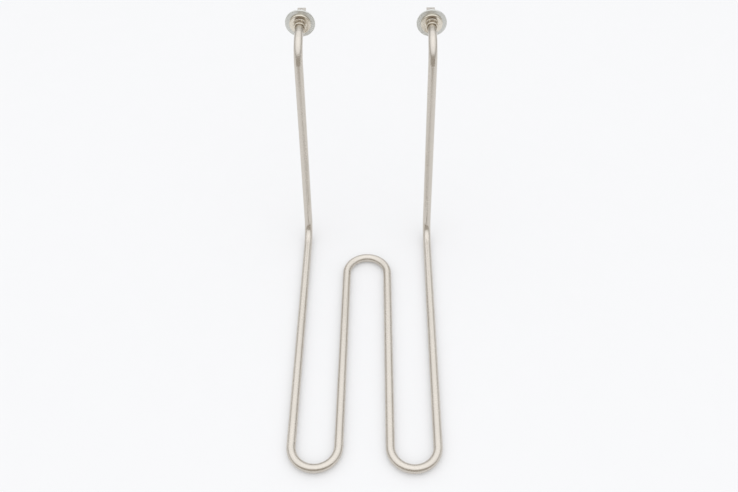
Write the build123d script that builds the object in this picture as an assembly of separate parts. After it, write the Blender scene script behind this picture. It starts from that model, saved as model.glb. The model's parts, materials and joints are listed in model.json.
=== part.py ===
from build123d import *
import os
from math import acos, atan2, cos, radians, sin

# Tubular heating element: one bent sheath that lies flat as a serpentine, rises at its two
# outer legs and ends in two crimped flange fittings with flat terminal tabs.
# X runs across, Y from the serpentine's front loops towards the fittings, Z is up.
# The origin is under the middle of the whole element, on the surface that it rests on.

# Sheath tube
tube_diameter = 6.5
tube_wall = 0.6

# Serpentine, measured on the centre line of the tube
loop_bend_radius = 16.6
side_loop_spacing = 69.0
side_loop_reach = 203.8
middle_loop_setback = 46.6
lower_bend_spacing = 101.2

# Risers and terminal ends, measured on the centre line of the tube
riser_bend_radius = 16.0
riser_height = 177.4
riser_setback = 15.6
fitting_spacing = 97.0
terminal_run = 28.5
terminal_rise_angle = 0.5

# Inside the sheath
coil_diameter = 2.9
coil_socket_diameter = 2.1
pin_diameter = 2.5
pin_spigot_length = 6.0
pin_spigot_gap = 0.05
heated_riser_length = 22.0
packing_gap = 0.03

# Flange bush: shank, flange and crimped neck
bush_bore_gap = 0.05
shank_diameter = 10.0
shank_length = 9.5
shank_chamfer = 0.5
flange_diameter = 16.0
flange_thickness = 1.4
flange_edge_radius = 0.7
root_ring_diameter = 10.4
root_ring_length = 0.6
root_ring_edge_radius = 0.5
neck_diameter = 9.0
neck_length = 4.4
mouth_chamfer = 0.35
mouth_edge_radius = 0.45
dent_count = 8
dent_width = 2.1
dent_length = 1.7
dent_depth = 0.5
dent_offset = 0.15
dent_flare = 0.36

# Parts on the shank, from the flange backwards
face_washer_diameter = 22.3
face_washer_thickness = 1.2
face_washer_edge_radius = 0.3
face_washer_bore_gap = 0.15
gasket_diameter = 17.5
gasket_thickness = 1.2
gasket_bore_gap = 0.05
backing_washer_diameter = 16.0
backing_washer_thickness = 0.8
backing_washer_bore_gap = 0.2
nut_across_flats = 14.0
nut_thickness = 2.5
nut_bore_gap = 0.02
nut_corner_chamfer = 0.35

# Ends of the sheath
sheath_end_length = 9.8
seal_length = 3.0
insulator_spigot_length = 2.5
insulator_spigot_gap = 0.1
insulator_collar_diameter = 6.1
insulator_collar_length = 1.0
insulator_edge_chamfer = 0.2
insulator_bore_gap = 0.06

# Terminal tab
tab_width = 6.3
tab_thickness = 0.8
tab_length = 8.2
tab_tip_chamfer = 0.5
tab_tip_bevel = 0.2
tab_shoulder_length = 1.0
tab_hole_diameter = 1.8
tab_hole_from_tip = 2.0
barrel_diameter = 4.0
barrel_length = 1.9
barrel_bore_gap = 0.03
barrel_gap = 0.1

# Sizes that follow from the ones above
tube_radius = tube_diameter / 2
tube_bore_radius = tube_radius - tube_wall
neck_radius = neck_diameter / 2
shank_radius = shank_diameter / 2
insulator_end = sheath_end_length + insulator_collar_length
barrel_start = insulator_end + barrel_gap
pin_end = barrel_start + barrel_length
rise = radians(terminal_rise_angle)
terminal_direction = Vector(0, cos(rise), sin(rise))


def leg_frame(side):
    """Corners of one outer leg: lower bend, upper bend and the flange's seat."""
    lower = Vector(side * lower_bend_spacing / 2, 0, tube_radius)
    upper = Vector(side * fitting_spacing / 2, riser_setback, tube_radius + riser_height)
    seat = upper + terminal_direction * terminal_run
    return lower, upper, seat


def tangent_point(point, centre, radius, side):
    """Where a line from point touches the circle, in the serpentine's plane."""
    reach = centre - point
    half_angle = acos(radius / reach.length)
    angle = atan2(-reach.Y, -reach.X) + side * half_angle
    return centre + Vector(cos(angle), sin(angle), 0) * radius


def bend(before, corner, after, radius):
    """Ends and middle of the arc that rounds a corner of the tube."""
    u = (before - corner).normalized()
    v = (after - corner).normalized()
    half = acos(u.dot(v)) / 2
    setback = radius * cos(half) / sin(half)
    middle = corner + (u + v).normalized() * (radius / sin(half) - radius)
    return corner + u * setback, middle, corner + v * setback


def serpentine_points(side):
    """Points of one half of the serpentine, from its middle to its outer leg."""
    middle_centre = Vector(0, -middle_loop_setback, tube_radius)
    loop_centre = Vector(side * side_loop_spacing / 2, -side_loop_reach, tube_radius)
    halfway = (middle_centre + loop_centre) * 0.5
    lower = leg_frame(side)[0]
    crown = middle_centre + Vector(0, loop_bend_radius, 0)
    inner_top = tangent_point(halfway, middle_centre, loop_bend_radius, side)
    inner_front = tangent_point(halfway, loop_centre, loop_bend_radius, side)
    outer_front = tangent_point(lower, loop_centre, loop_bend_radius, -side)
    shoulder = arc_middle(crown, inner_top, middle_centre)
    front = arc_middle(inner_front, outer_front, loop_centre)
    return crown, shoulder, inner_top, inner_front, front, outer_front


def arc_middle(start, end, centre):
    """Middle of the arc between two points of a circle, on the side of their chord."""
    chord_middle = (start + end) * 0.5 - centre
    if chord_middle.length < loop_bend_radius / 2:
        chord_middle = Vector(0, -1, 0)
    return centre + chord_middle.normalized() * loop_bend_radius


def hot_edges(side):
    """Heated stretch of one half, from the middle of the serpentine up to the riser."""
    crown, shoulder, inner_top, inner_front, front, outer_front = serpentine_points(side)
    lower, upper, _ = leg_frame(side)
    leg_end, elbow, riser_start = bend(outer_front, lower, upper, riser_bend_radius)
    joint = riser_start + (upper - lower).normalized() * heated_riser_length
    return [
        ThreePointArc(crown, shoulder, inner_top),
        Line(inner_top, inner_front),
        ThreePointArc(inner_front, front, outer_front),
        Line(outer_front, leg_end),
        ThreePointArc(leg_end, elbow, riser_start),
        Line(riser_start, joint),
    ]


def cold_edges(side, end_distance):
    """Unheated stretch of one half, from the riser to a distance behind the seat."""
    lower, upper, seat = leg_frame(side)
    outer_front = serpentine_points(side)[-1]
    riser_start = bend(outer_front, lower, upper, riser_bend_radius)[2]
    joint = riser_start + (upper - lower).normalized() * heated_riser_length
    riser_end, elbow, terminal_start = bend(lower, upper, seat, riser_bend_radius)
    return [
        Line(joint, riser_end),
        ThreePointArc(riser_end, elbow, terminal_start),
        Line(terminal_start, seat + terminal_direction * end_distance),
    ]


def reversed_edges(edges):
    """The same stretch, run the other way."""
    return [edge.reversed() for edge in reversed(edges)]


def rod(edges, radius):
    """Round bar along a stretch of the centre line."""
    path = Wire(edges)
    section = Plane(path @ 0, z_dir=path % 0) * Circle(radius)
    return sweep(section, path=path)


def whole_rod(radius, end_distance):
    """Round bar along the whole centre line, between the same distances behind both seats."""
    edges = []
    for side in (-1, 1):
        half = hot_edges(side) + cold_edges(side, end_distance)
        edges += reversed_edges(half) if side < 0 else half
    return rod(edges, radius)


def hot_rod(radius):
    """Round bar along the heated stretch."""
    edges = reversed_edges(hot_edges(-1)) + hot_edges(1)
    return rod(edges, radius)


def make_sheath():
    """Stainless tube, bent as one piece and open at both ends."""
    return whole_rod(tube_radius, sheath_end_length) - whole_rod(tube_bore_radius, sheath_end_length)


def make_coil():
    """Envelope of the wound resistance wire, with a socket for a pin at each end."""
    coil = hot_rod(coil_diameter / 2)
    for side in (-1, 1):
        coil -= pin_spigot(side, coil_socket_diameter / 2)
    return coil


def make_pin(side):
    """Cold pin: a steel rod from the terminal tab down to the coil, with a thinner spigot."""
    pin = rod(cold_edges(side, pin_end), pin_diameter / 2)
    return pin + pin_spigot(side, coil_socket_diameter / 2 - pin_spigot_gap)


def pin_spigot(side, radius):
    """Thin end of a cold pin, reaching from the joint down into the coil."""
    lower, upper, _ = leg_frame(side)
    joint = cold_edges(side, pin_end)[0] @ 0
    spigot = Cylinder(radius, pin_spigot_length, align=(Align.CENTER, Align.CENTER, Align.MIN))
    return Plane(joint, z_dir=lower - upper) * spigot


def make_filling():
    """Pressed magnesia between the sheath and what it insulates."""
    filling_end = sheath_end_length - insulator_spigot_length - seal_length
    filling = whole_rod(tube_bore_radius - packing_gap, filling_end)
    filling -= hot_rod(coil_diameter / 2 + packing_gap)
    for side in (-1, 1):
        filling -= rod(cold_edges(side, pin_end), pin_diameter / 2 + packing_gap)
    return filling


def disc(radius, start, length):
    """Cylinder along the fitting's axis, from start to start plus length."""
    return Pos(0, 0, start) * Cylinder(
        radius, length, align=(Align.CENTER, Align.CENTER, Align.MIN)
    )


def rounded_front(radius, length, distance, edge_radius):
    """Cylinder that ends at a distance before the seat, with its front edge rounded."""
    body = disc(radius, -distance - length, length)
    return fillet(body.edges().sort_by(Axis.Z)[0], edge_radius)


def make_bush():
    """Flange bush: threaded shank, flange and a neck crimped onto the tube."""
    bore_radius = tube_radius + bush_bore_gap
    neck_end = flange_thickness + neck_length
    body = rounded_front(flange_diameter / 2, flange_thickness, 0, flange_edge_radius)
    body += rounded_front(
        root_ring_diameter / 2, root_ring_length, flange_thickness, root_ring_edge_radius
    )
    body += rounded_front(neck_radius, neck_length, flange_thickness, mouth_edge_radius)
    shank = disc(shank_radius, 0, shank_length)
    body += chamfer(shank.edges().sort_by(Axis.Z)[-1], shank_chamfer)
    body -= disc(bore_radius, -neck_end, neck_end + shank_length)
    mouth = Pos(0, 0, -neck_end) * Cone(
        bore_radius + mouth_chamfer, bore_radius, mouth_chamfer,
        align=(Align.CENTER, Align.CENTER, Align.MIN),
    )
    body -= mouth
    return body - crimp_dents()


def crimp_dents():
    """Ring of square dents that grips the tube, each with sloping walls."""
    dent_middle = -flange_thickness - root_ring_length - dent_offset - dent_length / 2
    height = 2 * dent_depth
    width = dent_width + 2 * dent_flare
    length = dent_length + 2 * dent_flare
    punch = Wedge(
        width, height, length, dent_flare, dent_flare, width - dent_flare, length - dent_flare
    )
    tool = Pos(0, neck_radius, dent_middle) * Rot(0, 0, 180) * punch
    dents = Part()
    for turn in range(dent_count):
        dents += Rot(0, 0, turn * 360 / dent_count) * tool
    return dents


def ring(outer_radius, bore_radius, start, thickness):
    """Flat ring on the fitting's axis."""
    return disc(outer_radius, start, thickness) - disc(bore_radius, start, thickness)


def make_face_washer():
    """Large flat washer under the flange, with rounded rims."""
    washer = disc(face_washer_diameter / 2, 0, face_washer_thickness)
    washer = fillet(washer.edges().filter_by(GeomType.CIRCLE), face_washer_edge_radius)
    return washer - disc(shank_radius + face_washer_bore_gap, 0, face_washer_thickness)


def make_gasket():
    """Sealing gasket between the large washer and the wall."""
    start = face_washer_thickness
    return ring(gasket_diameter / 2, shank_radius + gasket_bore_gap, start, gasket_thickness)


def make_backing_washer():
    """Plain washer between the wall and the nut."""
    start = face_washer_thickness + gasket_thickness
    bore = shank_radius + backing_washer_bore_gap
    return ring(backing_washer_diameter / 2, bore, start, backing_washer_thickness)


def make_nut():
    """Thin hexagon nut with chamfered corners on both faces."""
    start = face_washer_thickness + gasket_thickness + backing_washer_thickness
    corner_radius = nut_across_flats / 2 / cos(radians(30))
    hexagon = RegularPolygon(corner_radius, 6)
    prism = Pos(0, 0, start) * extrude(hexagon, nut_thickness)
    turned = disc(corner_radius, start, nut_thickness)
    turned = chamfer(turned.edges().filter_by(GeomType.CIRCLE), nut_corner_chamfer)
    nut = prism & turned
    return nut - disc(shank_radius + nut_bore_gap, start, nut_thickness)


def make_seal():
    """End seal poured into the sheath behind the insulator."""
    start = sheath_end_length - insulator_spigot_length - seal_length
    outer = tube_bore_radius - packing_gap
    return ring(outer, pin_diameter / 2 + packing_gap, start, seal_length)


def make_insulator():
    """Ceramic end insulator: a spigot in the sheath and a collar on its rim."""
    spigot_start = sheath_end_length - insulator_spigot_length
    spigot = disc(tube_bore_radius - insulator_spigot_gap, spigot_start, insulator_spigot_length)
    collar = disc(insulator_collar_diameter / 2, sheath_end_length, insulator_collar_length)
    collar = chamfer(collar.edges().sort_by(Axis.Z)[-1], insulator_edge_chamfer)
    bore = pin_diameter / 2 + insulator_bore_gap
    return spigot + collar - disc(bore, spigot_start, insulator_end - spigot_start)


def make_tab():
    """Flat push-on tab with a barrel that grips the end of the pin."""
    blade_tip = pin_end + tab_length
    half = tab_width / 2
    neck_half = barrel_diameter / 2
    outline = Polyline(
        (-neck_half, pin_end),
        (-half, pin_end + tab_shoulder_length),
        (-half, blade_tip - tab_tip_chamfer),
        (-half + tab_tip_chamfer, blade_tip),
        (half - tab_tip_chamfer, blade_tip),
        (half, blade_tip - tab_tip_chamfer),
        (half, pin_end + tab_shoulder_length),
        (neck_half, pin_end),
        close=True,
    )
    blade = extrude(Plane.XZ * make_face(outline), tab_thickness / 2, both=True)
    tip_edges = blade.edges().filter_by(Axis.X).group_by(Axis.Z)[-1]
    blade = chamfer(tip_edges, tab_tip_bevel)
    hole_place = Pos(0, 0, blade_tip - tab_hole_from_tip) * Rot(90, 0, 0)
    blade -= hole_place * Cylinder(tab_hole_diameter / 2, 2 * tab_thickness)
    barrel = disc(barrel_diameter / 2, barrel_start, barrel_length)
    bore = disc(pin_diameter / 2 + barrel_bore_gap, barrel_start, barrel_length)
    return blade + (barrel - bore)


def fitting_place(side):
    """Frame of one fitting: its origin on the seat, its axis pointing away from the bend."""
    seat = leg_frame(side)[2]
    return Plane(seat, x_dir=(1, 0, 0), z_dir=terminal_direction).location


def build_element():
    """Every piece by name, before the element is set over its origin."""
    pieces = {"sheath": make_sheath(), "magnesia_filling": make_filling()}
    pieces["resistance_coil"] = make_coil()
    fitting_pieces = {
        "flange_bush": make_bush(),
        "face_washer": make_face_washer(),
        "sealing_gasket": make_gasket(),
        "backing_washer": make_backing_washer(),
        "fixing_nut": make_nut(),
        "end_seal": make_seal(),
        "end_insulator": make_insulator(),
        "terminal_tab": make_tab(),
    }
    for side, side_name in ((-1, "left"), (1, "right")):
        pieces["cold_pin_" + side_name] = make_pin(side)
        for name, solid in fitting_pieces.items():
            pieces[name + "_" + side_name] = fitting_place(side) * solid
    return pieces


def main():
    os.makedirs("parts", exist_ok=True)
    pieces = build_element()
    boxes = [piece.bounding_box() for piece in pieces.values()]
    middle_x = (min(box.min.X for box in boxes) + max(box.max.X for box in boxes)) / 2
    middle_y = (min(box.min.Y for box in boxes) + max(box.max.Y for box in boxes)) / 2
    over_origin = Pos(-middle_x, -middle_y, -min(box.min.Z for box in boxes))
    for name, piece in pieces.items():
        export_step(over_origin * piece, "parts/" + name + ".step")
        print(name, round(piece.volume, 1))


main()
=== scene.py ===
"""Finishes, threads and stage for a bent tubular heating element.

Every piece is in metres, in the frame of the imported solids: X runs across the element,
Y from the front loops of the serpentine towards the fittings, and Z is up.
"""

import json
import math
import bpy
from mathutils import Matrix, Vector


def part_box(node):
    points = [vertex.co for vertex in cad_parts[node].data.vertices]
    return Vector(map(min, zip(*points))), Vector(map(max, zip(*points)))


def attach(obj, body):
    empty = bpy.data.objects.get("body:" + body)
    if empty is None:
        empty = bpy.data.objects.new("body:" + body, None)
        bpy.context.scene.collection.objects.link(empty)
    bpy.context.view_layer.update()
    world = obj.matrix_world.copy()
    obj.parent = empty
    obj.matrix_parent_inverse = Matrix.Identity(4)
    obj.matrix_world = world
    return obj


bl_info = {
    "name": "Tubular heating element",
    "version": (1, 0, 0),
    "blender": (4, 5, 0),
    "location": "3D View > Sidebar > Heater",
    "description": "Finishes, threads and stage for a bent tubular heating element",
    "category": "Object",
}

import bmesh
import bpy
from bpy.props import FloatProperty, FloatVectorProperty, IntProperty, PointerProperty
from mathutils import Matrix, Vector

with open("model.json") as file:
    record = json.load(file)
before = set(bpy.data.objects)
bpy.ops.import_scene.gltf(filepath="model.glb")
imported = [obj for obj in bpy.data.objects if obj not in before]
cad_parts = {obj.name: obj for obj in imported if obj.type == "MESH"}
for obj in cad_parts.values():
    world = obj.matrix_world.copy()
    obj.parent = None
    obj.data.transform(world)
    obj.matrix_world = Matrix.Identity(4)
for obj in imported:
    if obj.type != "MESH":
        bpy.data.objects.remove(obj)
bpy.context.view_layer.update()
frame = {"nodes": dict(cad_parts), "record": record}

SIDES = ("left", "right")
IMAGE_WIDTH = 738
SENSOR_WIDTH = 36.0

# Bounds of the painted shade in a bush's crimp dents and of the painted dark reflection on top of
# its root ring, each
# as (unpainted, full): distance from the fitting's axis, travel from the mouth of the neck, and
# lean of the surface towards its top side.
DENT_RADIUS = (0.00432, 0.00414)
DENT_START = (0.0012, 0.0015)
DENT_END = (0.0039, 0.0037)
ROOT_RADIUS = (0.0074, 0.0070)
ROOT_START = (0.0040, 0.0042)
ROOT_END = (0.0054, 0.0052)
TOP_SIDE = (0.80, 0.96)
# Roughness added where shade and a dark reflection are painted on a bush
PAINTED_SHADE_ROUGHNESS = 0.15

# Thread on the free end of a shank
CREST_RADIUS = 0.00508
RUNOUT_DEPTH = 0.0005
RUNOUT_PITCHES = 0.5
THREAD_DEPTH_IN_PITCHES = 0.6
CREST_SHARE = 0.15
FLANK_SHARE = 0.7
RINGS_PER_PITCH = 16


def mount(name):
    """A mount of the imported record, by name."""
    for entry in frame["record"]["mounts"]:
        if entry["name"] == name:
            return entry
    raise RuntimeError("the record has no mount " + name)


# Settings that a user would change


class TubeFinish(bpy.types.PropertyGroup):
    """Finish of the sheath tube"""

    colour: FloatVectorProperty(
        name="Steel colour", description="Colour of the annealed stainless tube",
        subtype="COLOR", size=3, min=0.0, max=1.0, default=(0.638, 0.595, 0.536),
    )
    roughness: FloatProperty(
        name="Roughness", description="Spread of the reflections on the tube",
        subtype="FACTOR", min=0.0, max=1.0, default=0.25,
    )
    line_pitch: FloatProperty(
        name="Drawing line pitch", description="Distance between the fine lines left by drawing",
        unit="LENGTH", default=0.0005, min=0.0001, max=0.005,
    )
    line_depth: FloatProperty(
        name="Drawing line depth", description="Depth of the fine lines left by drawing",
        unit="LENGTH", default=0.000006, min=0.0, max=0.0002,
    )


class FittingFinish(bpy.types.PropertyGroup):
    """Finish of the bushes, washers, gaskets and nuts"""

    bush_colour: FloatVectorProperty(
        name="Bush colour", description="Colour of the nickel-plated flange bush",
        subtype="COLOR", size=3, min=0.0, max=1.0, default=(0.75, 0.70, 0.61),
    )
    bush_roughness: FloatProperty(
        name="Bush roughness", description="Spread of the reflections on the bush",
        subtype="FACTOR", min=0.0, max=1.0, default=0.16,
    )
    # Colour and strength of the painted shade in the crimp dents and of the painted dark reflection
    # on top of the root ring
    painted_shade_colour: FloatVectorProperty(
        name="Grime colour", description="Colour of the dull film in dents and on the root ring",
        subtype="COLOR", size=3, min=0.0, max=1.0, default=(0.15, 0.10, 0.065),
    )
    painted_shade_amount: FloatProperty(
        name="Grime amount", description="Strength of the film in dents and on the root ring",
        subtype="FACTOR", min=0.0, max=1.0, default=0.65,
    )
    zinc_colour: FloatVectorProperty(
        name="Zinc colour", description="Colour of the zinc-plated washers and nuts",
        subtype="COLOR", size=3, min=0.0, max=1.0, default=(0.72, 0.73, 0.70),
    )
    zinc_roughness: FloatProperty(
        name="Zinc roughness", description="Spread of the reflections on washers and nuts",
        subtype="FACTOR", min=0.0, max=1.0, default=0.32,
    )
    gasket_colour: FloatVectorProperty(
        name="Gasket colour", description="Colour of the fibre gasket",
        subtype="COLOR", size=3, min=0.0, max=1.0, default=(0.16, 0.15, 0.14),
    )
    thread_pitch: FloatProperty(
        name="Thread pitch", description="Pitch of the fine metric thread on the shank",
        unit="LENGTH", default=0.001, min=0.0005, max=0.002,
    )
    thread_steps: IntProperty(
        name="Steps per turn", description="Steps in one turn of the thread",
        default=48, min=12, max=128,
    )


class TerminalFinish(bpy.types.PropertyGroup):
    """Finish of the tabs, insulators and seals"""

    tab_colour: FloatVectorProperty(
        name="Tab colour", description="Colour of the tinned terminal tab",
        subtype="COLOR", size=3, min=0.0, max=1.0, default=(0.56, 0.53, 0.49),
    )
    ceramic_colour: FloatVectorProperty(
        name="Ceramic colour", description="Colour of the steatite end insulator",
        subtype="COLOR", size=3, min=0.0, max=1.0, default=(0.86, 0.83, 0.77),
    )
    seal_colour: FloatVectorProperty(
        name="Seal colour", description="Colour of the poured silicone seal",
        subtype="COLOR", size=3, min=0.0, max=1.0, default=(0.50, 0.17, 0.11),
    )


class StageSettings(bpy.types.PropertyGroup):
    """Floor, light and camera"""

    floor_colour: FloatVectorProperty(
        name="Floor colour", description="Colour of the table top",
        subtype="COLOR", size=3, min=0.0, max=1.0, default=(0.832, 0.83, 0.832),
    )
    floor_glow: FloatProperty(
        name="Floor glow", description="Share of plain white that is mixed into the floor",
        subtype="FACTOR", min=0.0, max=1.0, default=0.14,
    )
    floor_size: FloatProperty(
        name="Floor size", description="Edge of the square table top",
        unit="LENGTH", default=40.0, min=1.0, max=50.0,
    )
    softbox_power: FloatProperty(
        name="Softbox power", description="Power of the softbox overhead",
        unit="POWER", default=1.0, min=0.0, max=1000.0,
    )
    softbox_size: FloatProperty(
        name="Softbox size", description="Edge of the square softbox",
        unit="LENGTH", default=1.5, min=0.1, max=5.0,
    )
    softbox_distance: FloatProperty(
        name="Softbox distance", description="Distance from the element to the softbox",
        unit="LENGTH", default=1.8, min=0.3, max=10.0,
    )
    overhead_colour: FloatVectorProperty(
        name="Overhead colour", description="Light from above",
        subtype="COLOR", size=3, min=0.0, max=2.0, default=(1.24, 1.25, 1.27),
    )
    horizon_colour: FloatVectorProperty(
        name="Horizon colour", description="Light from the horizon and the lower sky",
        subtype="COLOR", size=3, min=0.0, max=1.0, default=(0.56, 0.555, 0.545),
    )
    room_colour: FloatVectorProperty(
        name="Room colour", description="Dim side of the room, before the front loops",
        subtype="COLOR", size=3, min=0.0, max=1.0, default=(0.49, 0.46, 0.42),
    )
    card_near: FloatProperty(
        name="Card near edge", description="Distance from the origin to the card's lower edge",
        unit="LENGTH", default=0.22, min=0.2, max=5.0,
    )
    card_far: FloatProperty(
        name="Card far edge", description="Distance from the origin to the card's upper edge",
        unit="LENGTH", default=0.60, min=0.2, max=5.0,
    )
    card_height: FloatProperty(
        name="Card height", description="Height of the card's upper edge",
        unit="LENGTH", default=0.50, min=0.1, max=5.0,
    )
    card_width: FloatProperty(
        name="Card width", description="Width of the dim card before the table",
        unit="LENGTH", default=1.2, min=0.1, max=5.0,
    )
    camera_place: FloatVectorProperty(
        name="Camera place", description="Where the camera stands, in the frame of the solids",
        subtype="TRANSLATION", unit="LENGTH", size=3, default=(0.01049, -0.391585, 0.51036),
    )
    camera_pitch: FloatProperty(
        name="Camera pitch", description="Angle below the horizon",
        subtype="ANGLE", default=math.radians(48.139),
    )
    camera_yaw: FloatProperty(
        name="Camera yaw", description="Turn from +Y towards -X",
        subtype="ANGLE", default=math.radians(1.157),
    )
    camera_roll: FloatProperty(
        name="Camera roll", description="Turn about the line of sight",
        subtype="ANGLE", default=math.radians(-0.792),
    )
    focal_pixels: FloatProperty(
        name="Focal length in pixels", description="Focal length over the width of one pixel",
        default=800.0, min=100.0, max=5000.0,
    )


# Node helpers


def add_node(tree, kind, values=None, **settings):
    """A node with its settings and its inputs set or linked by name or index."""
    made = tree.nodes.new(kind)
    for key, value in settings.items():
        setattr(made, key, value)
    for key, value in (values or {}).items():
        if isinstance(value, bpy.types.NodeSocket):
            tree.links.new(value, made.inputs[key])
        else:
            made.inputs[key].default_value = value
    return made


def colour4(colour):
    """A colour with its alpha."""
    return (*colour, 1.0)


def new_group(name, inputs, outputs):
    """An empty shader group with float, colour or vector sockets."""
    tree = bpy.data.node_groups.new(name, "ShaderNodeTree")
    for socket_name, kind in inputs:
        tree.interface.new_socket(socket_name, in_out="INPUT", socket_type=kind)
    for socket_name, kind in outputs:
        tree.interface.new_socket(socket_name, in_out="OUTPUT", socket_type=kind)
    return tree, add_node(tree, "NodeGroupInput"), add_node(tree, "NodeGroupOutput")


def surface_variation():
    """Group: slow cloudiness and fine speckle, as a colour and a roughness."""
    name = "surface_variation"
    if name in bpy.data.node_groups:
        return bpy.data.node_groups[name]
    tree, given, result = new_group(
        name,
        (("Colour", "NodeSocketColor"), ("Roughness", "NodeSocketFloat"),
         ("Cloud Scale", "NodeSocketFloat"), ("Speckle Scale", "NodeSocketFloat"),
         ("Colour Change", "NodeSocketFloat"), ("Roughness Change", "NodeSocketFloat")),
        (("Colour", "NodeSocketColor"), ("Roughness", "NodeSocketFloat")),
    )
    place = add_node(tree, "ShaderNodeTexCoord").outputs["Object"]
    cloud = add_node(tree, "ShaderNodeTexNoise", {
        "Vector": place, "Scale": given.outputs["Cloud Scale"], "Detail": 3.0,
    })
    speckle = add_node(tree, "ShaderNodeTexNoise", {
        "Vector": place, "Scale": given.outputs["Speckle Scale"], "Detail": 1.0,
    })
    both = add_node(tree, "ShaderNodeMath", {
        0: cloud.outputs["Fac"], 1: speckle.outputs["Fac"],
    }, operation="ADD")
    centred = add_node(tree, "ShaderNodeMath", {0: both.outputs[0], 1: 1.0}, operation="SUBTRACT")
    shade = add_node(tree, "ShaderNodeMath", {
        0: centred.outputs[0], 1: given.outputs["Colour Change"], 2: 1.0,
    }, operation="MULTIPLY_ADD")
    tinted = add_node(tree, "ShaderNodeVectorMath", {
        0: given.outputs["Colour"], "Scale": shade.outputs[0],
    }, operation="SCALE")
    rough = add_node(tree, "ShaderNodeMath", {
        0: centred.outputs[0], 1: given.outputs["Roughness Change"], 2: given.outputs["Roughness"],
    }, operation="MULTIPLY_ADD", use_clamp=True)
    tree.links.new(tinted.outputs[0], result.inputs["Colour"])
    tree.links.new(rough.outputs[0], result.inputs["Roughness"])
    return tree


def use_variation(tree, colour, roughness, cloud=90.0, speckle=900.0, shade=0.1, spread=0.12):
    """The variation group placed in a material with its values."""
    placed = add_node(tree, "ShaderNodeGroup", node_tree=surface_variation())
    placed.inputs["Colour"].default_value = colour4(colour)
    placed.inputs["Roughness"].default_value = roughness
    placed.inputs["Cloud Scale"].default_value = cloud
    placed.inputs["Speckle Scale"].default_value = speckle
    placed.inputs["Colour Change"].default_value = shade
    placed.inputs["Roughness Change"].default_value = spread
    return placed


def new_material(name):
    """A material with a bare Principled shader wired to its output."""
    material = bpy.data.materials.new(name)
    material.use_nodes = True
    tree = material.node_tree
    tree.nodes.clear()
    shader = add_node(tree, "ShaderNodeBsdfPrincipled")
    add_node(tree, "ShaderNodeOutputMaterial", {"Surface": shader.outputs[0]})
    return material, tree, shader


def varied_material(name, colour, roughness, metallic, **variation):
    """A material whose colour and roughness vary a little over the surface."""
    material, tree, shader = new_material(name)
    varied = use_variation(tree, colour, roughness, **variation)
    tree.links.new(varied.outputs["Colour"], shader.inputs["Base Color"])
    tree.links.new(varied.outputs["Roughness"], shader.inputs["Roughness"])
    shader.inputs["Metallic"].default_value = metallic
    return material, tree, shader


def add_bump(tree, shader, height, depth):
    """A bump of a real depth in metres on a shader."""
    bump = add_node(tree, "ShaderNodeBump", {"Height": height, "Distance": depth, "Strength": 1.0})
    tree.links.new(bump.outputs[0], shader.inputs["Normal"])


def finish_nodes(names, material):
    """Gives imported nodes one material."""
    for name in names:
        piece = frame["nodes"][name]
        if not piece.material_slots:
            piece.data.materials.append(material)
        for place in piece.material_slots:
            place.material = material


def both_sides(*names):
    """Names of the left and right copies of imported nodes."""
    return [name + "_" + side for name in names for side in SIDES]


# Finishes


def tube_material(finish):
    """Annealed stainless tube with faint lines along its runs."""
    material, tree, shader = varied_material(
        "stainless_tube", finish.colour, finish.roughness, metallic=1.0,
        cloud=70.0, speckle=1100.0, shade=0.12, spread=0.16,
    )
    place = add_node(tree, "ShaderNodeTexCoord").outputs["Object"]
    line_stretch = 60
    across = 1.0 / finish.line_pitch
    along = across / line_stretch
    level = add_node(tree, "ShaderNodeMapping", {
        "Vector": place, "Scale": (across, along, across),
    })
    upright = add_node(tree, "ShaderNodeMapping", {
        "Vector": place, "Scale": (across, across, along),
    })
    height = add_node(tree, "ShaderNodeSeparateXYZ", {0: place}).outputs["Z"]
    riser_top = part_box("sheath")[1].z
    bend_reach = 0.016
    above_floor = add_node(tree, "ShaderNodeMapRange", {
        "Value": height, "From Min": bend_reach / 2, "From Max": bend_reach,
    })
    below_top = add_node(tree, "ShaderNodeMapRange", {
        "Value": height, "From Min": riser_top - bend_reach / 2, "From Max": riser_top - bend_reach,
    })
    on_riser = add_node(tree, "ShaderNodeMath", {
        0: above_floor.outputs[0], 1: below_top.outputs[0],
    }, operation="MULTIPLY")
    level_lines = add_node(tree, "ShaderNodeTexNoise", {"Vector": level.outputs[0], "Scale": 1.0})
    riser_lines = add_node(tree, "ShaderNodeTexNoise", {"Vector": upright.outputs[0], "Scale": 1.0})
    lines = add_node(tree, "ShaderNodeMix", {
        "Factor": on_riser.outputs[0], "A": level_lines.outputs["Fac"],
        "B": riser_lines.outputs["Fac"],
    })
    add_bump(tree, shader, lines.outputs[0], finish.line_depth)
    return material


def along_axis(node, axis, pick):
    """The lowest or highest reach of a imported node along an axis."""
    return pick(axis.dot(vertex.co) for vertex in frame["nodes"][node].data.vertices)


def ramp(tree, value, start, end):
    """Mask that goes smoothly from 0 at start to 1 at end, which may be the lower one."""
    return add_node(tree, "ShaderNodeMapRange", {
        "Value": value, "From Min": start, "From Max": end,
    }, interpolation_type="SMOOTHSTEP").outputs[0]


def times(tree, first, second):
    """Product of two masks."""
    return add_node(tree, "ShaderNodeMath", {0: first, 1: second}, operation="MULTIPLY").outputs[0]


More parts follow.
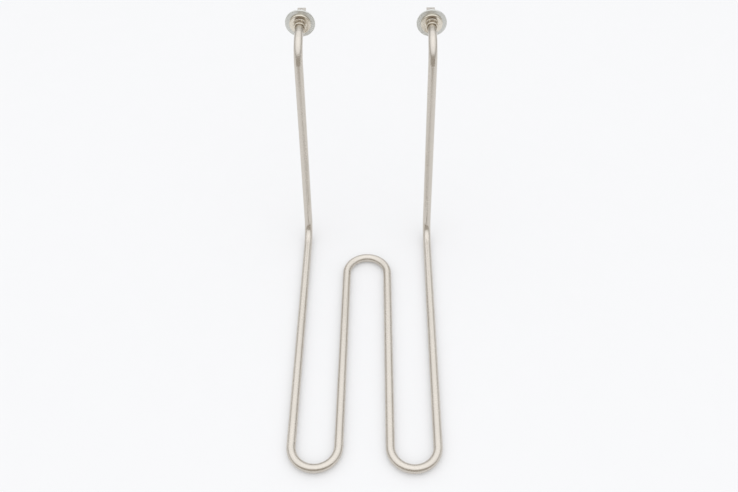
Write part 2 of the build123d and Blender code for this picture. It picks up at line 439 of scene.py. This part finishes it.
def fitting_coordinates(tree):
    """Radius and travel from the mouth of the nearer fitting, and lean towards its top side."""
    fitting = mount("wall_fitting_right")
    axis = Vector(fitting["axis"]).normalized()
    origin = Vector(fitting["pos_m"])
    mouth = origin + axis * (along_axis("flange_bush_right", axis, min) - axis.dot(origin))
    place = add_node(tree, "ShaderNodeTexCoord").outputs["Object"]
    parts = add_node(tree, "ShaderNodeSeparateXYZ", {0: place})
    mirrored = add_node(tree, "ShaderNodeMath", {0: parts.outputs["X"]}, operation="ABSOLUTE")
    folded = add_node(tree, "ShaderNodeCombineXYZ", {
        "X": mirrored.outputs[0], "Y": parts.outputs["Y"], "Z": parts.outputs["Z"],
    })
    reach = add_node(tree, "ShaderNodeVectorMath", {
        0: folded.outputs[0], 1: mouth,
    }, operation="SUBTRACT")
    travel = add_node(tree, "ShaderNodeVectorMath", {
        0: reach.outputs[0], 1: axis,
    }, operation="DOT_PRODUCT").outputs["Value"]
    on_axis = add_node(tree, "ShaderNodeVectorMath", {0: axis, "Scale": travel}, operation="SCALE")
    aside = add_node(tree, "ShaderNodeVectorMath", {
        0: reach.outputs[0], 1: on_axis.outputs[0],
    }, operation="SUBTRACT")
    radius = add_node(tree, "ShaderNodeVectorMath", {0: aside.outputs[0]}, operation="LENGTH")
    outward = add_node(tree, "ShaderNodeVectorMath", {0: aside.outputs[0]}, operation="NORMALIZE")
    lean = add_node(tree, "ShaderNodeSeparateXYZ", {0: outward.outputs[0]})
    return radius.outputs["Value"], travel, lean.outputs["Z"]


def bush_material(finish):
    """Nickel plating on a turned bush, with painted shade in its crimp dents and a painted dark
    reflection on top of its root ring.
    """
    material, tree, shader = new_material("nickel_plated_bush")
    varied = use_variation(
        tree, finish.bush_colour, finish.bush_roughness,
        cloud=400.0, speckle=2500.0, shade=0.08, spread=0.08,
    )
    radius, travel, lean = fitting_coordinates(tree)
    # Masks: painted shade in the crimp dents, and a painted dark reflection on the top side of the
    # root ring
    dent = times(tree, ramp(tree, radius, *DENT_RADIUS), ramp(tree, travel, *DENT_END))
    dent = times(tree, dent, ramp(tree, travel, *DENT_START))
    root = times(tree, ramp(tree, radius, *ROOT_RADIUS), ramp(tree, travel, *ROOT_START))
    root = times(tree, root, ramp(tree, travel, *ROOT_END))
    root = times(tree, root, ramp(tree, lean, *TOP_SIDE))
    # Where shade and reflection are painted, the colour goes towards the dark painted colour and
    # the roughness rises
    painted_shade = add_node(tree, "ShaderNodeMath", {
        0: dent, 1: root,
    }, operation="MAXIMUM").outputs[0]
    share = add_node(tree, "ShaderNodeMath", {
        0: painted_shade, 1: finish.painted_shade_amount,
    }, operation="MULTIPLY").outputs[0]
    colour = add_node(tree, "ShaderNodeMix", {
        "Factor": share, 6: varied.outputs["Colour"], 7: colour4(finish.painted_shade_colour),
    }, data_type="RGBA")
    rough = add_node(tree, "ShaderNodeMath", {
        0: painted_shade, 1: PAINTED_SHADE_ROUGHNESS, 2: varied.outputs["Roughness"],
    }, operation="MULTIPLY_ADD", use_clamp=True)
    tree.links.new(colour.outputs[2], shader.inputs["Base Color"])
    tree.links.new(rough.outputs[0], shader.inputs["Roughness"])
    shader.inputs["Metallic"].default_value = 1.0
    return material


def zinc_material(finish):
    """Zinc plating with a fine crystalline mottle."""
    grain_depth = 0.000008
    material, tree, shader = varied_material(
        "zinc_plated_steel", finish.zinc_colour, finish.zinc_roughness, metallic=1.0,
        cloud=300.0, speckle=1800.0, shade=0.14, spread=0.2,
    )
    place = add_node(tree, "ShaderNodeTexCoord").outputs["Object"]
    grain = add_node(tree, "ShaderNodeTexNoise", {"Vector": place, "Scale": 3000.0, "Detail": 2.0})
    add_bump(tree, shader, grain.outputs["Fac"], grain_depth)
    return material


def fibre_material(finish):
    """Pressed fibre with a felted grain."""
    felt_depth = 0.00004
    material, tree, shader = varied_material(
        "fibre_gasket", finish.gasket_colour, roughness=0.8, metallic=0.0,
        cloud=600.0, speckle=4000.0, shade=0.5, spread=0.1,
    )
    place = add_node(tree, "ShaderNodeTexCoord").outputs["Object"]
    felt = add_node(tree, "ShaderNodeTexNoise", {"Vector": place, "Scale": 5000.0, "Detail": 4.0})
    add_bump(tree, shader, felt.outputs["Fac"], felt_depth)
    return material


def thread_profile(radius, pitch, travel):
    """Radius of the threaded surface at a share of the pitch: flat crests and V grooves."""
    depth = THREAD_DEPTH_IN_PITCHES * pitch / 2
    share = abs((travel / pitch) % 1.0 - 0.5) * 2
    return radius - depth * max(0.0, min(1.0, (share - CREST_SHARE) / FLANK_SHARE))


def build_thread(side, finish):
    """Threaded sleeve over the free end of a shank, behind the fixing nut."""
    fitting = mount("wall_fitting_" + side)
    axis = Vector(fitting["axis"]).normalized()
    nut_far = along_axis("fixing_nut_" + side, axis, max)
    bush_far = along_axis("flange_bush_" + side, axis, max)
    origin = Vector(fitting["pos_m"])
    origin_reach = axis.dot(origin)
    start, end = nut_far - origin_reach, bush_far - origin_reach
    mesh = bmesh.new()
    pitch = finish.thread_pitch
    turn_steps = finish.thread_steps
    rings = int((end - start) / pitch * RINGS_PER_PITCH)
    across = Vector((1, 0, 0))
    up = axis.cross(across)
    rows = []
    for ring in range(rings + 1):
        travel = start + (end - start) * ring / rings
        closing = min(1.0, max(0.0, (end - travel) / (RUNOUT_PITCHES * pitch)))
        row = []
        for step in range(turn_steps):
            angle = 2 * math.pi * step / turn_steps
            radius = thread_profile(CREST_RADIUS, pitch, travel - pitch * step / turn_steps)
            radius -= RUNOUT_DEPTH * (1 - closing)
            around = across * math.cos(angle) + up * math.sin(angle)
            row.append(mesh.verts.new(origin + axis * travel + around * radius))
        rows.append(row)
    for lower, upper in zip(rows, rows[1:]):
        for step in range(turn_steps):
            after = (step + 1) % turn_steps
            mesh.faces.new((lower[step], lower[after], upper[after], upper[step]))
    bmesh.ops.recalc_face_normals(mesh, faces=mesh.faces)
    data = bpy.data.meshes.new("shank_thread_" + side)
    mesh.to_mesh(data)
    mesh.free()
    for face in data.polygons:
        face.use_smooth = True
    piece = bpy.data.objects.new("shank_thread_" + side, data)
    bpy.context.scene.collection.objects.link(piece)
    return piece


# Operators


class HEATER_OT_tube(bpy.types.Operator):
    """Finish the bent sheath tube"""

    bl_idname = "heater.tube"
    bl_label = "Sheath tube"

    def execute(self, context):
        finish_nodes(["sheath"], tube_material(context.scene.heater_tube))
        return {"FINISHED"}


class HEATER_OT_bushes(bpy.types.Operator):
    """Finish both flange bushes and cut the thread on their shanks"""

    bl_idname = "heater.bushes"
    bl_label = "Flange bushes"

    def execute(self, context):
        finish = context.scene.heater_fitting
        material = bush_material(finish)
        finish_nodes(both_sides("flange_bush"), material)
        for side in SIDES:
            thread = build_thread(side, finish)
            thread.data.materials.append(material)
            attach(thread, "root")
        return {"FINISHED"}


class HEATER_OT_washers(bpy.types.Operator):
    """Finish the washers, gaskets and nuts"""

    bl_idname = "heater.washers"
    bl_label = "Washers and nuts"

    def execute(self, context):
        finish = context.scene.heater_fitting
        plated = both_sides("face_washer", "backing_washer", "fixing_nut")
        finish_nodes(plated, zinc_material(finish))
        finish_nodes(both_sides("sealing_gasket"), fibre_material(finish))
        return {"FINISHED"}


class HEATER_OT_terminals(bpy.types.Operator):
    """Finish the tabs, insulators and seals"""

    bl_idname = "heater.terminals"
    bl_label = "Terminals"

    def execute(self, context):
        finish = context.scene.heater_terminal
        cloud = 500.0
        tab = varied_material(
            "tinned_tab", finish.tab_colour, roughness=0.28, metallic=1.0, cloud=cloud
        )[0]
        ceramic = varied_material(
            "steatite", finish.ceramic_colour, roughness=0.55, metallic=0.0,
            cloud=cloud, shade=0.06,
        )[0]
        seal = varied_material(
            "silicone_seal", finish.seal_colour, roughness=0.45, metallic=0.0,
            cloud=cloud, shade=0.2,
        )[0]
        finish_nodes(both_sides("terminal_tab"), tab)
        finish_nodes(both_sides("end_insulator"), ceramic)
        finish_nodes(both_sides("end_seal"), seal)
        return {"FINISHED"}


class HEATER_OT_core(bpy.types.Operator):
    """Finish the parts inside the sheath"""

    bl_idname = "heater.core"
    bl_label = "Core"

    def execute(self, context):
        powder = varied_material(
            "magnesia", (0.86, 0.85, 0.81), roughness=0.85, metallic=0.0, shade=0.1
        )[0]
        wire = varied_material(
            "resistance_wire", (0.40, 0.38, 0.36), roughness=0.4, metallic=1.0, shade=0.2
        )[0]
        pin = varied_material(
            "nickel_steel_pin", (0.62, 0.59, 0.55), roughness=0.3, metallic=1.0, shade=0.1
        )[0]
        finish_nodes(["magnesia_filling"], powder)
        finish_nodes(["resistance_coil"], wire)
        finish_nodes(both_sides("cold_pin"), pin)
        return {"FINISHED"}


class HEATER_OT_stage(bpy.types.Operator):
    """Lay the floor and set the light and the camera"""

    bl_idname = "heater.stage"
    bl_label = "Stage"

    def execute(self, context):
        stage = context.scene.heater_stage
        context.scene.view_settings.view_transform = "Standard"
        lay_floor(stage)
        stand_room_card(stage)
        light_world(stage)
        hang_softbox(stage)
        set_camera(stage)
        return {"FINISHED"}


# Stage


def lay_floor(stage):
    """Plain pale table top, at the height that the element rests on."""
    half = stage.floor_size / 2
    floor = add_panel("floor", [
        (-half, -half, 0), (half, -half, 0), (half, half, 0), (-half, half, 0),
    ])
    material, tree, shader = varied_material(
        "table_top", stage.floor_colour, roughness=0.6, metallic=0.0,
        cloud=3.0, speckle=40.0, shade=0.01, spread=0.05,
    )
    shader.inputs["Specular IOR Level"].default_value = 0.2
    show_white(tree, shader, stage)
    floor.data.materials.append(material)


def add_panel(name, corners):
    """A flat four-cornered object."""
    data = bpy.data.meshes.new(name)
    data.from_pydata(corners, [], [(0, 1, 2, 3)])
    panel = bpy.data.objects.new(name, data)
    bpy.context.scene.collection.objects.link(panel)
    return panel


def stand_room_card(stage):
    """Dim card that leans away before the front loops and shows in reflections alone."""
    half, near, far = stage.card_width / 2, -stage.card_near, -stage.card_far
    top, bottom = stage.card_height, 0.0005
    card = add_panel("room_card", [
        (-half, near, bottom), (-half, far, top), (half, far, top), (half, near, bottom),
    ])
    material = bpy.data.materials.new("room_card")
    material.use_nodes = True
    tree = material.node_tree
    tree.nodes.clear()
    glow = add_node(tree, "ShaderNodeEmission", {"Color": colour4(stage.room_colour)})
    add_node(tree, "ShaderNodeOutputMaterial", {"Surface": glow.outputs[0]})
    card.data.materials.append(material)
    card.visible_camera = False
    card.visible_diffuse = False
    card.visible_shadow = False


def show_white(tree, shader, stage):
    """Mixes plain white into the floor for camera, glossy and transmission rays."""
    white_colour = (0.985, 0.99, 1.0)
    rays = add_node(tree, "ShaderNodeLightPath")
    glossy = add_node(tree, "ShaderNodeMath", {
        0: rays.outputs["Is Camera Ray"], 1: rays.outputs["Is Glossy Ray"],
    }, operation="MAXIMUM")
    seen = add_node(tree, "ShaderNodeMath", {
        0: glossy.outputs[0], 1: rays.outputs["Is Transmission Ray"],
    }, operation="MAXIMUM")
    share = add_node(tree, "ShaderNodeMath", {
        0: seen.outputs[0], 1: stage.floor_glow,
    }, operation="MULTIPLY")
    white = add_node(tree, "ShaderNodeEmission", {
        "Color": colour4(white_colour), "Strength": 1.0,
    })
    both = add_node(tree, "ShaderNodeMixShader", {
        0: share.outputs[0], 1: shader.outputs[0], 2: white.outputs[0],
    })
    output = next(n for n in tree.nodes if n.type == "OUTPUT_MATERIAL")
    tree.links.new(both.outputs[0], output.inputs["Surface"])


def light_world(stage):
    """Soft surroundings: bright above and dimmer at the horizon."""
    dim_up_to, bright_from = 0.2, 0.65
    world = bpy.data.worlds.new("surroundings")
    world.use_nodes = True
    bpy.context.scene.world = world
    tree = world.node_tree
    tree.nodes.clear()
    direction = add_node(tree, "ShaderNodeTexCoord").outputs["Generated"]
    height = add_node(tree, "ShaderNodeSeparateXYZ", {0: direction}).outputs["Z"]
    lift = add_node(tree, "ShaderNodeMapRange", {
        "Value": height, "From Min": dim_up_to, "From Max": bright_from,
    })
    sky = add_node(tree, "ShaderNodeMix", {
        "Factor": lift.outputs[0], 6: colour4(stage.horizon_colour),
        7: colour4(stage.overhead_colour),
    }, data_type="RGBA")
    background = add_node(tree, "ShaderNodeBackground", {"Color": sky.outputs[2]})
    add_node(tree, "ShaderNodeOutputWorld", {"Surface": background.outputs[0]})


def hang_softbox(stage):
    """Large softbox overhead, which lights the upper sides."""
    lamp = bpy.data.lights.new("softbox", "AREA")
    lamp.energy = stage.softbox_power
    lamp.shape = "SQUARE"
    lamp.size = stage.softbox_size
    box = bpy.data.objects.new("softbox", lamp)
    bpy.context.scene.collection.objects.link(box)
    box.location = (0.0, 0.0, stage.softbox_distance)


def set_camera(stage):
    """Camera that looks down along the element from before its front loops."""
    data = bpy.data.cameras.new("camera")
    data.sensor_width = SENSOR_WIDTH
    data.lens = SENSOR_WIDTH * stage.focal_pixels / IMAGE_WIDTH
    data.clip_start = 0.01
    data.clip_end = 50.0
    camera = bpy.data.objects.new("camera", data)
    bpy.context.scene.collection.objects.link(camera)
    pitch, yaw, roll = stage.camera_pitch, stage.camera_yaw, stage.camera_roll
    level = Vector((-math.sin(yaw), math.cos(yaw), 0.0))
    forward = level * math.cos(pitch) - Vector((0, 0, 1)) * math.sin(pitch)
    right = Vector((math.cos(yaw), math.sin(yaw), 0.0))
    up = right.cross(forward)
    right_rolled = right * math.cos(roll) + up * math.sin(roll)
    up_rolled = up * math.cos(roll) - right * math.sin(roll)
    turn = Matrix((right_rolled, up_rolled, -forward)).transposed()
    camera.matrix_world = Matrix.Translation(Vector(stage.camera_place)) @ turn.to_4x4()
    bpy.context.scene.camera = camera


class HEATER_PT_panel(bpy.types.Panel):
    """Steps and settings of the heating element"""

    bl_idname = "HEATER_PT_panel"
    bl_label = "Heating element"
    bl_space_type = "VIEW_3D"
    bl_region_type = "UI"
    bl_category = "Heater"

    def draw(self, context):
        for operator in OPERATORS:
            self.layout.operator(operator.bl_idname, text=operator.bl_label)
        for name in SETTINGS:
            settings = getattr(context.scene, name)
            box = self.layout.box()
            for key in settings.__annotations__:
                box.prop(settings, key)


SETTINGS = {
    "heater_tube": TubeFinish,
    "heater_fitting": FittingFinish,
    "heater_terminal": TerminalFinish,
    "heater_stage": StageSettings,
}
OPERATORS = (
    HEATER_OT_tube,
    HEATER_OT_bushes,
    HEATER_OT_washers,
    HEATER_OT_terminals,
    HEATER_OT_core,
    HEATER_OT_stage,
)
CLASSES = (*SETTINGS.values(), *OPERATORS, HEATER_PT_panel)


def register():
    for entry in CLASSES:
        bpy.utils.register_class(entry)
    for name, group in SETTINGS.items():
        setattr(bpy.types.Scene, name, PointerProperty(type=group))


def unregister():
    for name in SETTINGS:
        delattr(bpy.types.Scene, name)
    for entry in reversed(CLASSES):
        bpy.utils.unregister_class(entry)


def main():
    """Builds everything in order."""
    register()
    bpy.ops.heater.tube()
    bpy.ops.heater.bushes()
    bpy.ops.heater.washers()
    bpy.ops.heater.terminals()
    bpy.ops.heater.core()
    bpy.ops.heater.stage()
    bpy.context.view_layer.update()


if __name__ == "__main__":
    main()
